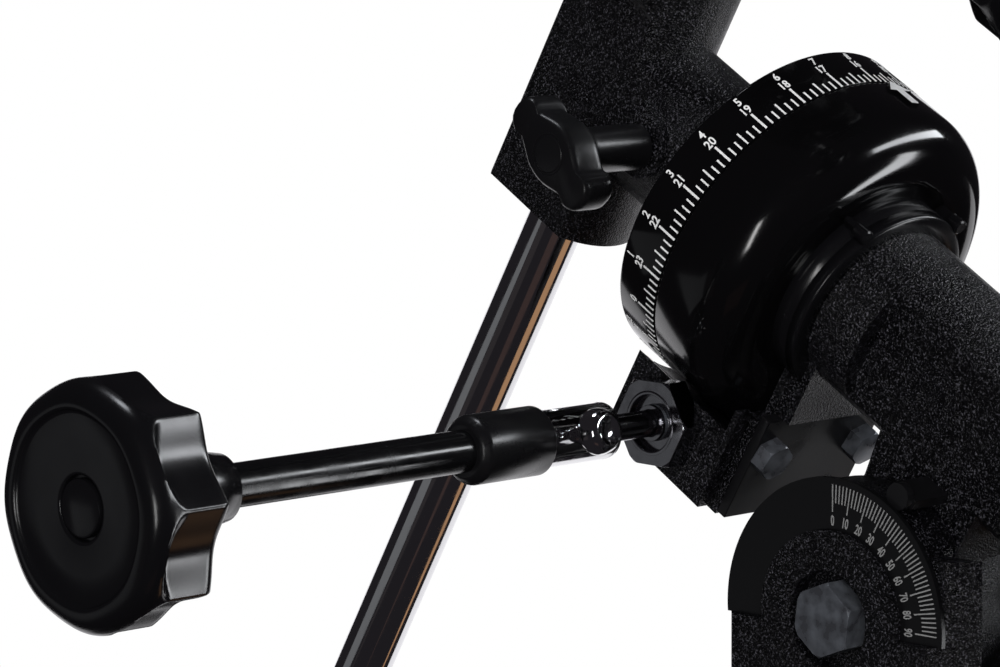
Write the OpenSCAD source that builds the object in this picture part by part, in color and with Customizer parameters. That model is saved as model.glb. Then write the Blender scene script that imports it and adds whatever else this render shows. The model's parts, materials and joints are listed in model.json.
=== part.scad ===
// Equatorial telescope mount head with its counterweight, at rest on a level base.
// +Z is up, +Y is north (the polar axis rises towards it), +X is east.
// The origin is the centre of the base adapter's bottom face.

/* [Base and latitude] */
// Height of the latitude axis above the bottom face
latitude_height = 62; // [60:1:66]
// Latitude setting: the polar axis's angle above level, in degrees
latitude = 30.8; // [28:0.1:36]
// Distance from the latitude axis to the polar axis
polar_rise = 42.9; // [42:0.1:45]
// Radius of the yoke's drum
drum_r = 36; // [35:0.5:37]
// Radius of the latitude scale plate
scale_r = 27; // [26:0.5:28]

/* [Polar axis] */
// Radius of the setting circle and of the bell cover's rim
circle_r = 36; // [35.5:0.1:36.4]
// Distance along the polar axis to the bell cover's rim
rim_station = 62.1; // [62:0.1:63]
// Width of the right-ascension setting circle
circle_w = 11; // [9:0.5:12]
// Radius of the polar tube
tube_r = 17.3; // [17:0.1:18]
// Radius of both axis shafts
shaft_r = 8; // [7:0.5:8.5]

/* [Declination axis] */
// Distance along the polar axis to the declination axis
dec_station = 119.6; // [117:0.2:124]
// Radius of the declination tube
dec_tube_r = 16.5; // [16:0.1:17]
// Distance from the polar axis to the saddle's underside
saddle_station = 125.6; // [124:0.4:132]

/* [Controls] */
// Distance of the polar worm from the polar axis
worm_drop = 38.4; // [38.2:0.1:39]
// Distance along the polar axis to its worm
worm_station = 56.5; // [56:0.1:57]
// Radius of a control knob
knob_r = 22.5; // [20:0.5:23]
// Distance from the polar worm to the far end of its control rod
ra_rod_end = 135.6; // [110:1:150]
// Distance from the declination worm to the far end of its control rod
dec_rod_end = 83.2; // [80:0.4:108]

/* [Counterweight] */
// Radius of the counterweight bar
bar_r = 6; // [5:0.5:6]
// Distance from the polar axis to the bar's lower end
bar_end = 266; // [264:1:300]
// Radius of the counterweight
weight_r = 38; // [30:1:38]
// Length of the counterweight
weight_l = 62; // [40:1:64]

/* [Hidden] */
$fn = 64;
run_gap = 0.05;      // radial clearance of a running fit
face_gap = 0.3;      // gap between faces that turn past each other
slip_gap = 0.3;      // gap between curved faces of neighbouring bodies

// Base and yoke
adapter_r = 38;
adapter_h = 13.7;
pivot_r = 10;
pivot_top = 32;
thread_r = 5;        // tapped M10
thread_depth = 24;
deck_z = 14.2;       // underside of the yoke
cheek_x = 26.3;      // outer face of a cheek
scale_x = 24.9;      // outer face of the latitude scale
scale_t = 1;
boss_r = 17;         // rounded top of a cheek
hub_x = 13.2;        // half width of the housing's hub
slot_x = 13.6;       // half width of the slot that takes the hub
shoulder_z = latitude_height - 2;
horn_z = latitude_height + 14;
bolt_r = 4;          // M8
bolt_seat_x = 22.7;
counterbore_r = 9.5;
jack_z = latitude_height - 21;
jack_tip = 6.2;      // end of the jack screw, south of the centre
jack_bar_at = 45.5;  // tee bar, along the screw from its tip

// Polar housing, all distances along the polar axis
tube_south = -48;
tube_north = 46.4;
tube_bore = 12;
flat_x = 12.5;       // flat sides of the tube and its web
flat_south = -32;
flat_north = 27;
web_south = -10.2;
web_north = 17.3;
flange_r = 28.5;
flange_t = 3.4;
bell_south = 43.6;
bell_wall = 2.2;
collar_r = 21;
collar_low = 38;
arm_x = 13;          // arm of the worm block
arm_low = 36;
arm_high = 42.6;
wheel_low = 52;
wheel_high = 61.1;
worm_r = 5.3;
wheel_r = worm_drop - worm_r - 0.5;
wheel_teeth = 100;
ring_low = rim_station + 0.25;
ring_high = ring_low + circle_w;
neck_r = 16.2;
neck_low = wheel_high + face_gap;
clutch_r = 24;
clutch_high = neck_low + 3.2;

// Worm block
block_low = 40;
bracket_t = 2.3;
bracket_top = 25.5;
block_high = 70;
block_x = 21.4;
block_drop = 49.6;
block_clear_r = 37.6;

// Declination unit, heights along the declination axis
dec_foot = -31;
dec_flat_x = 11.8;
dec_flat_top = 20.8;
dec_bore = 11;
bush_l = 14;
dec_tube_top = 87.6;
dec_wheel_low = dec_tube_top + 9;
dec_wheel_high = dec_wheel_low + 10;
dec_worm_x = 36;
dec_block_out = dec_worm_x + 11;
dec_worm_h = dec_tube_top + 14;
dec_wheel_r = dec_worm_x - worm_r - 0.5;
dec_bell_r = 33.4;
dec_bell_top = dec_tube_top + 21.6;
dec_ring_low = dec_bell_top + 0.4;
dec_ring_high = dec_ring_low + 8.6;
dec_ring_r = 31;
saddle_flange_low = dec_ring_high + 0.6;
saddle_l = 132;
saddle_w = 46;
saddle_t = 11;
saddle_hole_pcd = 80;
saddle_hole_r = 3.3;

// Controls, distances outward from the worm
worm_half = 9;
nut_face = 26.7;
spindle_r = 2.65;
spindle_end = 56;
sleeve_r = 5.5;
sleeve_low = 40;
sleeve_high = 58;
socket_r = 6.7;
socket_high = 77;
rod_r = 4.05;
knob_hub = 16;
knob_thick = 17;
screw_station = 50.8;
thumbscrew_turn = 42; // about the polar control, so that it points level to the south

// Locks and counterweight
lock_station = 94;
lock_x = 42.5;
lock_boss_r = 6.4;
lock_screw_r = 3;
dec_lock_h = 62;
dec_lock_x = 38;
azimuth_lock_z = 23;
azimuth_lock_x = 50;
wing_l = 26;
wing_w = 12;
knob_bore = 9;       // how far a lock knob grips its screw
wing_thick = 8;
ra_lock_stem = 16.6;
latitude_handle = 40;
weight_top = 190;
bar_root = -14;

BLACK = "#161719";
CASTING = "#232428";
CHROME = "#c9ccd0";
STEEL = "#8c8f94";
BRASS = "#b08d4a";
WHITE = "#f2f2f2";

// ---- Places -------------------------------------------------------------------------------------

// Z is the polar axis, Y points from it towards the latitude axis, X is east
module polar() {
    translate([0, 0, latitude_height])
        rotate([latitude - 90, 0, 0])
            translate([0, -polar_rise, 0])
                children();
}

// Z is the declination axis pointing to the saddle, Y is north along the polar axis
module declination() {
    polar() translate([0, 0, dec_station]) rotate([90, 0, 0]) children();
}

// Z points outward along the polar worm, to the west
module ra_control() {
    polar() translate([0, worm_drop, worm_station]) rotate([0, -90, 0]) children();
}

// Z points outward along the declination worm, to the south
module dec_control() {
    declination() translate([-dec_worm_x, 0, dec_worm_h]) rotate([90, 0, 0]) children();
}

// X axis at the latitude axis
module latitude_axis() {
    translate([0, 0, latitude_height]) rotate([0, 90, 0]) children();
}

// ---- Shared shapes ------------------------------------------------------------------------------

// Tube from z = low to z = high
module tube(r_out, r_in, low, high) {
    translate([0, 0, low]) difference() {
        cylinder(r = r_out, h = high - low);
        translate([0, 0, -1]) cylinder(r = r_in, h = high - low + 2);
    }
}

// Cylinder from z = low to z = high
module rod(r, low, high) {
    translate([0, 0, low]) cylinder(r = r, h = high - low);
}

// Hexagonal prism by its width across flats
module hexagon(flats, low, high) {
    translate([0, 0, low]) cylinder(r = flats / 2 / cos(30), h = high - low, $fn = 6);
}

// Box between two corners
module block(low, high) {
    translate(low) cube(high - low);
}

// Worm wheel with straight teeth
module worm_wheel(r, low, high, bore) {
    step = 360 / wheel_teeth;
    depth = 1.3;
    outline = [for (i = [0 : wheel_teeth - 1], k = [0 : 3])
        let (a = step * (i + [0.1, 0.4, 0.6, 0.9][k]), q = r - (k == 0 || k == 3 ? depth : 0))
        [q * cos(a), q * sin(a)]];
    translate([0, 0, low]) difference() {
        linear_extrude(high - low) polygon(outline);
        translate([0, 0, -1]) cylinder(r = bore, h = high - low + 2);
    }
}

// Worm on its spindle: ridges stand in for the thread
module worm_spindle() {
    pitch = 2;
    ridges = 8;
    thread = [for (i = [0 : ridges - 1], k = [0 : 2])
        [[4.2, worm_r, worm_r][k], -ridges + pitch * (i + [0.2, 0.45, 0.75][k])]];
    rod(spindle_r, -32, spindle_end);
    rotate_extrude() polygon(concat([[0, -worm_half]], [[4.2, -worm_half]], thread,
                                    [[4.2, worm_half]], [[0, worm_half]]));
}

// Hexagonal bearing caps at both ends of a worm
module bearing_nuts() {
    for (side = [0, 180]) rotate([side, 0, 0]) difference() {
        intersection() {
            rotate(30) hexagon(16.6, block_x + 0.2, nut_face);
            translate([0, 0, block_x]) cylinder(r1 = 14.4, r2 = 8.9, h = nut_face - block_x);
        }
        rod(spindle_r + run_gap, block_x - 1, nut_face + 1);
        tube(5.6, 3.6, nut_face - 1.6, nut_face + 1);
    }
}

// Sleeve that slips over the end of a worm spindle
module control_sleeve() {
    difference() {
        rod(sleeve_r, sleeve_low, sleeve_high);
        rod(spindle_r, sleeve_low - 1, spindle_end);
        translate([0, 0, screw_station]) rotate([0, -90, 0]) cylinder(r = 2, h = 12);
    }
}

// Thumbscrew that clamps a sleeve, with a domed head
module sleeve_thumbscrew() {
    translate([0, 0, screw_station]) rotate([0, -90, 0]) {
        rod(2 - run_gap, spindle_r + 0.1, 9.2);
        translate([0, 0, 8.6]) cylinder(r = 3.6, h = 1);
        translate([0, 0, 8.9]) intersection() {
            sphere(r = 4.6);
            translate([-5, -5, 0]) cube([10, 10, 5]);
        }
    }
}

// Plastic socket between a sleeve and its rod
module control_socket() {
    rotate_extrude() polygon([[0, sleeve_high], [socket_r - 0.6, sleeve_high],
                              [socket_r, sleeve_high + 0.8], [socket_r, socket_high - 1.6],
                              [socket_r - 1.4, socket_high], [0, socket_high]]);
}

// Knob with eight scallops, a hub behind and a dished face
module control_knob(root) {
    face = root + knob_hub + knob_thick;
    difference() {
        union() {
            translate([0, 0, root]) cylinder(r1 = 6.2, r2 = 9, h = knob_hub);
            difference() {
                rotate_extrude() polygon([[0, face], [knob_r - 2.5, face], [knob_r - 0.7, face - 0.8],
                                          [knob_r, face - 2.8], [knob_r, face - knob_thick + 3],
                                          [knob_r - 3, face - knob_thick], [0, face - knob_thick]]);
                for (i = [0 : 7]) rotate(i * 45 + 12)
                    translate([knob_r + 4.6, 0, root + knob_hub - 1]) cylinder(r = 7.6, h = knob_thick + 2);
            }
        }
        rod(rod_r, root - 1, root + 4);
        rod(17.3, face - 0.9, face + 1);
        rod(5.4, face - 3, face + 1);
    }
}

// Cap in the middle of a knob's face
module knob_cap(root) {
    face = root + knob_hub + knob_thick;
    rod(5.4, face - 3, face - 0.7);
}

// Hollow cover with a rounded shoulder, its mouth at z = high
module bell(r_rim, r_face, low, high, hole) {
    round_r = r_rim - r_face;
    steps = 8;
    outer = [for (i = [0 : steps]) let (a = 90 * i / steps)
        [r_face + round_r * sin(a) * 0.98, low + round_r * (1 - cos(a))]];
    inner = [for (i = [steps : -1 : 0]) let (a = 90 * i / steps, q = round_r - bell_wall)
        [r_face + q * sin(a) * 0.98, low + bell_wall + q * (1 - cos(a))]];
    rotate_extrude($fn = 96) polygon(concat(
        [[hole, low + 0.9], [r_face - 2, low + 0.9]], outer, [[r_rim, high], [r_rim - bell_wall, high]],
        inner, [[hole, low + bell_wall + 0.6]]));
}

// Two-winged lock knob on a round stem; z = 0 is its front face
module wing_knob(length, width, thick, stem) {
    difference() {
        union() {
            translate([0, 0, -thick]) linear_extrude(thick) {
                circle(r = width * 0.62);
                for (side = [-1, 1]) translate([side * (length / 2 - width * 0.36), 0])
                    circle(r = width * 0.36);
                square([length - width * 0.72, width * 0.62], center = true);
            }
            translate([0, 0, -thick - stem]) cylinder(r = 4.6, h = stem);
        }
        rod(3, -thick - stem - 1, -thick - stem + knob_bore);
    }
}

// ---- Base and yoke ------------------------------------------------------------------------------

module base_adapter() {
    color(CASTING) difference() {
        union() {
            rotate_extrude($fn = 96) polygon([[0, 0], [adapter_r - 1.5, 0], [adapter_r, 1.5],
                                              [adapter_r, adapter_h - 1.5], [adapter_r - 1.5, adapter_h],
                                              [0, adapter_h]]);
            rod(pivot_r, adapter_h - 1, pivot_top);
        }
        rod(thread_r, -1, thread_depth);
    }
}

module azimuth_washer() {
    color(STEEL) tube(30, pivot_r + slip_gap, adapter_h, deck_z - 0.1);
}

// Cheek parts are drawn for the east side and mirrored
module cheek() {
    rotate([0, 90, 0]) {
        rod(boss_r, slot_x, cheek_x);
        rod(scale_r - 1, slot_x, scale_x - scale_t);
    }
}

module yoke() {
    horn_slot = 18.3;
    color(CASTING) difference() {
        union() {
            intersection() {
                rod(drum_r, deck_z, shoulder_z);
                block([-cheek_x, -drum_r, 0], [cheek_x, drum_r, shoulder_z]);
            }
            intersection() {
                rod(drum_r, shoulder_z - 1, horn_z);
                block([-(scale_x - scale_t), -drum_r, 0], [scale_x - scale_t, -20, horn_z]);
            }
            translate([0, 0, latitude_height]) {
                cheek();
                mirror([1, 0, 0]) cheek();
            }
        }
        block([-slot_x, -28, 35], [slot_x, drum_r + 1, horn_z + 20]);
        block([-horn_slot, -drum_r - 1, latitude_height - 14], [horn_slot, -20, horn_z + 1]);
        rod(pivot_r + run_gap, deck_z - 1, pivot_top + 0.4);
        latitude_axis() {
            rod(bolt_r + 0.1, -cheek_x - 1, cheek_x + 1);
            rod(counterbore_r, -cheek_x - 1, -bolt_seat_x);
        }
        translate([0, -20, jack_z]) rotate([90, 0, 0]) cylinder(r = bolt_r + 0.1, h = 20);
        translate([-pivot_r, 0, azimuth_lock_z]) rotate([0, -90, 0])
            cylinder(r = lock_screw_r + run_gap, h = 20);
    }
}

module latitude_scale() {
    color(BLACK) intersection() {
        translate([0, 0, latitude_height]) rotate([0, -90, 0])
            tube(scale_r, boss_r, scale_x - scale_t, scale_x);
        block([-30, -30, shoulder_z], [0, 30, latitude_height + 30]);
    }
}

module latitude_bolt() {
    color(STEEL) latitude_axis() {
        rotate([0, 0, 8]) intersection() {
            hexagon(13, -bolt_seat_x - 5.3, -bolt_seat_x);
            translate([0, 0, -bolt_seat_x - 5.3]) cylinder(r1 = 6.9, r2 = 12.2, h = 5.3);
        }
        rod(bolt_r, -bolt_seat_x - 0.1, 40);
    }
}

module latitude_washer() {
    color(STEEL) latitude_axis() tube(8, bolt_r, cheek_x, cheek_x + 1.5);
}

module latitude_lock_handle() {
    hub_low = cheek_x + 1.8;
    color(BLACK) latitude_axis() difference() {
        union() {
            rod(9, hub_low, hub_low + 13);
            translate([0, 0, hub_low + 6.5])
                rotate([0, 90, 0]) cylinder(r1 = 4.5, r2 = 3.4, h = latitude_handle);
            translate([latitude_handle, 0, hub_low + 6.5]) sphere(r = 5.5);
        }
        rod(bolt_r + run_gap, hub_low - 1, 40.4);
    }
}

module latitude_jack_screw() {
    color(STEEL) translate([0, -jack_tip, jack_z]) rotate([90, 0, 0]) {
        difference() {
            union() {
                cylinder(r1 = 1.5, r2 = bolt_r, h = 4);
                rod(bolt_r, 4, jack_bar_at + 4);
            }
            translate([-10, 0, jack_bar_at]) rotate([0, 90, 0]) cylinder(r = 2, h = 20);
        }
        tube(7, bolt_r - 0.2, 36, 41);
    }
}

module latitude_jack_bar() {
    half_l = 11;
    color(STEEL) translate([0, -jack_tip - jack_bar_at, jack_z]) rotate([0, 90, 0]) {
        rod(2, -half_l, half_l);
        for (side = [-1, 1]) translate([0, 0, side * half_l]) sphere(r = 2.8);
    }
}

module azimuth_lock_screw() {
    color(STEEL) translate([0, 0, azimuth_lock_z]) rotate([0, -90, 0]) rod(lock_screw_r, pivot_r + 0.1, 40);
}

module azimuth_lock_knob() {
    color(BLACK) translate([-azimuth_lock_x, 0, azimuth_lock_z]) rotate([0, -90, 0])
        rotate(90) wing_knob(wing_l + 2, wing_w, wing_thick, 11);
}

// ---- Polar housing ------------------------------------------------------------------------------

module polar_housing() {
    color(CASTING) polar() difference() {
        union() {
            rod(tube_r, tube_south, tube_north);
            rod(flange_r, tube_north, tube_north + flange_t);
            // Web from the tube down to the hub on the latitude axis
            rotate([90, 0, -90]) translate([0, 0, -flat_x]) linear_extrude(2 * flat_x)
                polygon([[8, web_south], [-24, web_south], [-polar_rise, -boss_r], [-polar_rise, boss_r],
                         [-22, web_north - 1.5], [-10.6, web_north], [8, web_north]]);
            translate([0, polar_rise, 0]) rotate([0, 90, 0]) rod(boss_r, -hub_x, hub_x);
            // Tongue that the latitude screw pushes
            translate([0, polar_rise, 0]) rotate([90 - latitude, 0, 0]) block([-8, -5, -25], [8, 5, 0]);
        }
        // Flat sides of the tube, in line with the web
        for (side = [-1, 1]) scale([side, 1, 1])
            block([flat_x, -13, flat_south], [tube_r + 1, 30, flat_north]);
        rod(tube_bore, tube_south - 1, tube_north + 5);
        translate([0, polar_rise, 0]) rotate([0, 90, 0]) rod(bolt_r + run_gap, -hub_x - 1, hub_x + 1);
    }
}

module polar_bush_north() {
    color(BRASS) polar() tube(tube_bore, shaft_r + run_gap, tube_north - bush_l, tube_north + flange_t);
}

module polar_bush_south() {
    color(BRASS) polar() tube(tube_bore, shaft_r + run_gap, tube_south + 8, tube_south + 8 + bush_l);
}

module polar_end_cap() {
    color(BLACK) polar() {
        rod(tube_r, tube_south - 4, tube_south);
        tube(tube_bore, tube_bore - 1.6, tube_south - 0.5, tube_south + 4);
    }
}

module bell_cover() {
    window = worm_r + 1.2;
    color(BLACK) polar() difference() {
        bell(circle_r, 26.5, bell_south, rim_station, tube_r);
        // Window for the worm
        block([-13, 25, worm_station - window], [13, circle_r + 1, rim_station + 1]);
    }
}

module bell_arrow() {
    head = 3.4;
    color(WHITE) polar() difference() {
        rotate([0, 0, 8]) translate([0, -circle_r - 0.6, 54])
            rotate([-90, 0, 0]) mirror([0, 1, 0]) linear_extrude(1.2)
                polygon([[-1.2, 0], [1.2, 0], [1.2, 4.4], [head, 4.4], [0, 8], [-head, 4.4], [-1.2, 4.4]]);
        rod(circle_r + 0.04, 50, rim_station + 1);
    }
}

module bell_collar() {
    color(BLACK) polar() {
        tube(collar_r, tube_r, collar_low, bell_south + 0.9);
        for (side = [-1, 1]) rotate(side * 38) block([-1, -collar_r - 2, collar_low], [1, -tube_r, 42]);
    }
}

module worm_block() {
    worm_bore = worm_r + 0.5;
    color(CASTING) polar() difference() {
        union() {
            block([-17, 27, block_low], [17, block_drop, block_high - 1]);
            for (side = [-1, 1]) scale([side, 1, 1]) {
                block([18, 26, block_low + 1.4], [block_x, block_drop - 1.2, block_high]);
                block([16.9, 34, block_low + 4], [18.1, block_drop - 3, block_high - 4]);
            }
            // Arm up to the polar tube
            block([-arm_x, 8, arm_low], [arm_x, bracket_top, arm_high]);
            block([-arm_x, bracket_top - 1, block_low], [arm_x, 28, arm_high]);
        }
        // Room for the bell cover, the setting circle and the tube
        translate([0, 0, bell_south - 0.6]) cylinder(r = block_clear_r, h = 40, $fn = 96);
        rod(tube_r, 0, 60);
        rod(collar_r, collar_low, 60);
        translate([0, worm_drop, worm_station]) rotate([0, 90, 0]) {
            rod(spindle_r + run_gap, -30, 30);
            rod(worm_bore, -worm_half - 1, worm_half + 1);
        }
        bolt_places() rod(2.5, -6, 8);
    }
}

// Z points south, out of the bracket, at each bolt
module bolt_places() {
    for (side = [-1, 1]) translate([side * 13.2, 33.6, block_low - bracket_t])
        rotate([180, 0, 0]) children();
}

module worm_bracket() {
    color(BLACK) polar() difference() {
        block([-16.9, bracket_top, block_low - bracket_t], [16.9, block_drop - 0.6, block_low]);
        bolt_places() rod(2.5, -4, 4);
    }
}

module bracket_bolts() {
    color(STEEL) polar() bolt_places() {
        rod(2.5, -6, 0.1);
        rotate(20) intersection() {
            hexagon(7, 0, 3.4);
            cylinder(r1 = 5.6, r2 = 3.7, h = 3.4);
        }
    }
}

module ra_bearing_nuts() {
    color(STEEL) ra_control() bearing_nuts();
}

module latitude_pointer() {
    color(STEEL) translate([0, 0, latitude_height]) rotate([latitude, 0, 0]) {
        block([-22, -3, 28], [-flat_x, 3, 30]);
        translate([-23.7, 0, 29]) rotate([0, 90, 0]) cylinder(r = 2.6, h = 1.9, $fn = 24);
    }
}

// ---- Controls -----------------------------------------------------------------------------------

module ra_worm() {
    color(STEEL) ra_control() worm_spindle();
}

module ra_sleeve() {
    color(CHROME) ra_control() rotate(thumbscrew_turn) control_sleeve();
}

module ra_thumbscrew() {
    color(CHROME) ra_control() rotate(thumbscrew_turn) sleeve_thumbscrew();
}

module ra_socket() {
    color(BLACK) ra_control() control_socket();
}

module ra_rod() {
    color(BLACK) ra_control() rod(rod_r, socket_high, ra_rod_end + 4);
}

module ra_knob() {
    color(BLACK) ra_control() control_knob(ra_rod_end);
}

module ra_knob_cap() {
    color(BLACK) ra_control() knob_cap(ra_rod_end);
}

module ra_worm_wheel() {
    color(BRASS) polar() worm_wheel(wheel_r, wheel_low, wheel_high, shaft_r + run_gap);
}

// ---- Head that turns about the polar axis -------------------------------------------------------

module dec_housing() {
    lock_bore = lock_screw_r + run_gap;
    color(CASTING) difference() {
        union() {
            polar() {
                rod(neck_r, neck_low, dec_station);
                rod(clutch_r, neck_low, clutch_high);
                translate([-neck_r - 1, -1, lock_station]) rotate([0, 90, 0]) rod(lock_boss_r, 0, 8);
            }
            declination() {
                rod(dec_tube_r, dec_foot, dec_tube_top);
                rod(26, dec_tube_top - 5, dec_tube_top);
            }
        }
        declination() {
            rod(dec_bore, dec_foot + 4, dec_tube_top + 1);
            rod(bar_r + 0.4, dec_foot - 1, dec_foot + 5);
            // Flat west side, with a slanted end
            rotate([90, 0, 0]) translate([0, 0, -20]) linear_extrude(40)
                polygon([[-dec_flat_x, dec_foot - 1], [-dec_flat_x, dec_flat_top],
                         [-dec_tube_r - 1, dec_flat_top + 9], [-dec_tube_r - 8, dec_foot - 1]]);
            translate([0, 0, dec_lock_h]) rotate([0, 90, 0]) rod(lock_bore, 9, 20);
        }
        polar() {
            rod(shaft_r, neck_low - 1, 102);
            translate([0, -1, lock_station]) rotate([0, -90, 0]) rod(lock_bore, shaft_r - 1, 20);
        }
    }
}

module ra_shaft() {
    color(STEEL) polar() rod(shaft_r, tube_south + 1.5, 102);
}

module ra_shaft_nut() {
    color(STEEL) polar() tube(10.2, shaft_r, tube_south + 1.5, tube_south + 7.6);
}

module dec_bush_upper() {
    color(BRASS) declination() tube(dec_bore, shaft_r + run_gap, dec_tube_top - bush_l, dec_tube_top);
}

module dec_bush_lower() {
    color(BRASS) declination() tube(dec_bore, shaft_r + run_gap, dec_foot + 4, dec_foot + 4 + bush_l);
}

module dec_bell() {
    color(BLACK) declination() difference() {
        bell(dec_bell_r, 26, dec_tube_top, dec_bell_top, shaft_r + 1);
        block([-dec_bell_r - 1, -13, dec_worm_h - worm_r - 1], [-24, 13, dec_bell_top + 1]);
    }
}

module dec_worm_block() {
    color(CASTING) declination() difference() {
        union() {
            block([-dec_block_out, -block_x, dec_tube_top + 1], [-26, block_x, dec_tube_top + 21]);
            block([-dec_block_out, -12, dec_tube_top - 12], [-dec_bell_r - 0.6, 12, dec_tube_top + 2]);
            block([-dec_block_out, -10, dec_tube_top - 12], [-12, 10, dec_tube_top - 5.2]);
        }
        translate([0, 0, dec_tube_top - 5.1]) cylinder(r = dec_bell_r + 0.2, h = 40, $fn = 96);
        rod(dec_tube_r, dec_tube_top - 26, dec_tube_top - 4);
        translate([-dec_worm_x, 0, dec_worm_h]) rotate([90, 0, 0]) {
            rod(spindle_r + run_gap, -30, 30);
            rod(worm_r + 0.5, -worm_half - 1, worm_half + 1);
        }
    }
}

module dec_bearing_nuts() {
    color(STEEL) dec_control() bearing_nuts();
}

module ra_circle() {
    color(BLACK) polar() difference() {
        tube(circle_r, neck_r + run_gap, ring_low, ring_high);
        rod(circle_r - bell_wall, ring_low - 1, ring_high - 3);
    }
}

module ra_lock_screw() {
    color(STEEL) polar() translate([0, -1, lock_station]) rotate([0, -90, 0])
        rod(lock_screw_r, shaft_r + 0.4, lock_x - wing_thick - ra_lock_stem + knob_bore);
}

module ra_lock_knob() {
    color(BLACK) polar() translate([-lock_x, -1, lock_station]) rotate([0, -90, 0])
        rotate(-16) wing_knob(wing_l, wing_w, wing_thick, ra_lock_stem);
}

module dec_worm() {
    color(STEEL) dec_control() worm_spindle();
}

module dec_sleeve() {
    color(CHROME) dec_control() control_sleeve();
}

module dec_thumbscrew() {
    color(CHROME) dec_control() sleeve_thumbscrew();
}

module dec_socket() {
    color(BLACK) dec_control() control_socket();
}

module dec_rod() {
    color(BLACK) dec_control() rod(rod_r, socket_high, dec_rod_end + 4);
}

module dec_knob() {
    color(BLACK) dec_control() control_knob(dec_rod_end);
}

module dec_knob_cap() {
    color(BLACK) dec_control() knob_cap(dec_rod_end);
}

module dec_worm_wheel() {
    color(BRASS) declination() worm_wheel(dec_wheel_r, dec_wheel_low, dec_wheel_high, shaft_r + run_gap);
}

module dec_circle() {
    color(BLACK) declination() tube(dec_ring_r, shaft_r + run_gap, dec_ring_low, dec_ring_high);
}

module dec_lock_screw() {
    color(STEEL) declination() translate([0, 0, dec_lock_h]) rotate([0, 90, 0])
        rod(lock_screw_r, shaft_r + 1, 27);
}

module dec_lock_knob() {
    color(BLACK) declination() translate([dec_lock_x, 0, dec_lock_h]) rotate([0, 90, 0])
        wing_knob(wing_l, wing_w, wing_thick, 12);
}

// ---- Saddle and counterweight -------------------------------------------------------------------

module dec_shaft() {
    color(STEEL) declination() difference() {
        rod(shaft_r, dec_foot + 4.5, saddle_station);
        rod(bar_r, dec_foot + 4, bar_root);
    }
}

module saddle() {
    groove = 0.9;
    color(CASTING) declination() difference() {
        union() {
            rod(24, saddle_flange_low, saddle_station);
            block([-saddle_w / 2, -saddle_l / 2, saddle_station],
                  [saddle_w / 2, saddle_l / 2, saddle_station + saddle_t]);
        }
        rod(shaft_r, saddle_flange_low - 1, saddle_station);
        // Shallow recess across the middle of the seat
        block([-saddle_w, -saddle_l / 2 + 30, saddle_station + saddle_t - groove],
              [saddle_w, saddle_l / 2 - 30, saddle_station + saddle_t + 1]);
        for (side = [-1, 1]) translate([0, side * saddle_hole_pcd / 2, saddle_station - 1])
            cylinder(r = saddle_hole_r, h = saddle_t + 2);
    }
}

module counterweight_bar() {
    color(CHROME) declination() rod(bar_r, -bar_end, bar_root);
}

module bar_end_nut() {
    color(CHROME) declination() tube(10, bar_r - 1, -bar_end - 6, -bar_end);
}

module counterweight() {
    edge = 3;
    low = -weight_top - weight_l;
    color(BLACK) declination() difference() {
        rotate_extrude($fn = 96) polygon([[bar_r + run_gap, low], [weight_r - edge, low],
                                          [weight_r, low + edge], [weight_r, -weight_top - edge],
                                          [weight_r - edge, -weight_top], [bar_r + run_gap, -weight_top]]);
        translate([0, 0, low + weight_l / 2]) rotate([-90, 0, 0])
            cylinder(r = 4 + run_gap, h = weight_r + 2);
    }
}

module weight_lock_screw() {
    color(CHROME) declination() translate([0, 0, -weight_top - weight_l / 2]) rotate([-90, 0, 0]) {
        rod(4, bar_r + 0.3, weight_r + 5);
        rod(9, weight_r + 4, weight_r + 12);
    }
}

base_adapter();
azimuth_washer();
yoke();
latitude_scale();
latitude_bolt();
latitude_washer();
azimuth_lock_screw();
azimuth_lock_knob();
latitude_lock_handle();
latitude_jack_screw();
latitude_jack_bar();
polar_housing();
polar_bush_north();
polar_bush_south();
polar_end_cap();
bell_cover();
bell_arrow();
bell_collar();
worm_block();
worm_bracket();
bracket_bolts();
ra_bearing_nuts();
latitude_pointer();
ra_worm();
ra_sleeve();
ra_thumbscrew();
ra_socket();
ra_rod();
ra_knob();
ra_knob_cap();
ra_worm_wheel();
dec_housing();
ra_shaft();
ra_shaft_nut();
dec_bush_upper();
dec_bush_lower();
dec_bell();
dec_worm_block();
dec_bearing_nuts();
ra_circle();
ra_lock_screw();
ra_lock_knob();
dec_worm();
dec_sleeve();
dec_thumbscrew();
dec_socket();
dec_rod();
dec_knob();
dec_knob_cap();
dec_worm_wheel();
dec_circle();
dec_lock_screw();
dec_lock_knob();
dec_shaft();
saddle();
counterweight_bar();
bar_end_nut();
counterweight();
weight_lock_screw();
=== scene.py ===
"""Looks of an equatorial telescope mount head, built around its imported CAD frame."""
import json
import math

import bmesh
import bpy
from mathutils import Matrix, Vector


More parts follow.
